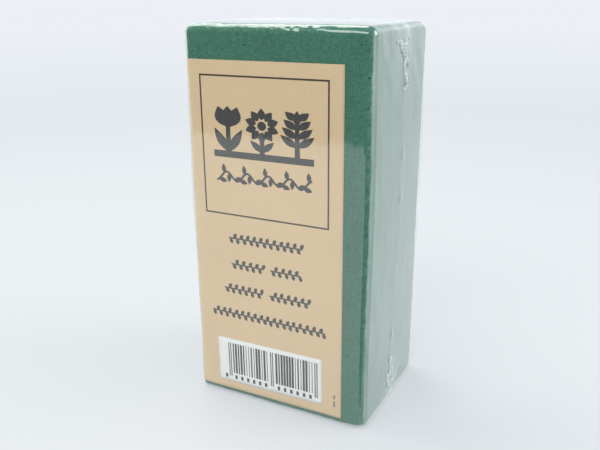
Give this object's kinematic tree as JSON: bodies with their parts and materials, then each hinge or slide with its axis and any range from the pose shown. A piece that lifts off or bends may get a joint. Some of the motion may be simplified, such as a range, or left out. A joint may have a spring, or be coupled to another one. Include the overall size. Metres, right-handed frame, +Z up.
{
  "type": "floral foam brick",
  "caption": "Rectangular block of green floral foam with a kraft paper label and a barcode sticker, sealed in clear shrink film with welded seams and gathered ears.",
  "frame": {"origin": "middle of the footprint, on the surface that the brick stands on", "axes": "+Z up along the brick's length, -Y out of the label face, +X out of the side with the long weld"},
  "size_m": [0.1015, 0.0756, 0.2011],
  "materials": {
    "phenolic_foam": "dull dark green, fine closed cells with scattered open pores, crushed and paler along the edges",
    "kraft_paper": "uncoated brown kraft paper, printed in dark grey",
    "white_paper": "white paper, printed with black bars",
    "clear_film": "clear glossy shrink film, drawn tight, with fine ripples",
    "film_weld": "trim weld of melted film, milky and slightly beaded",
    "gathered_film": "several layers of shrunk film, creased and milky"
  },
  "bodies": {
    "root": {"foam_brick": "phenolic_foam", "paper_label": "kraft_paper", "barcode_sticker": "white_paper", "shrink_film": "clear_film", "side_weld": "film_weld", "top_weld": "film_weld", "bottom_weld": "film_weld", "ear_top_welded": "gathered_film", "ear_bottom_welded": "gathered_film", "ear_top_folded": "gathered_film", "ear_bottom_folded": "gathered_film"}
  },
  "joints": []
}
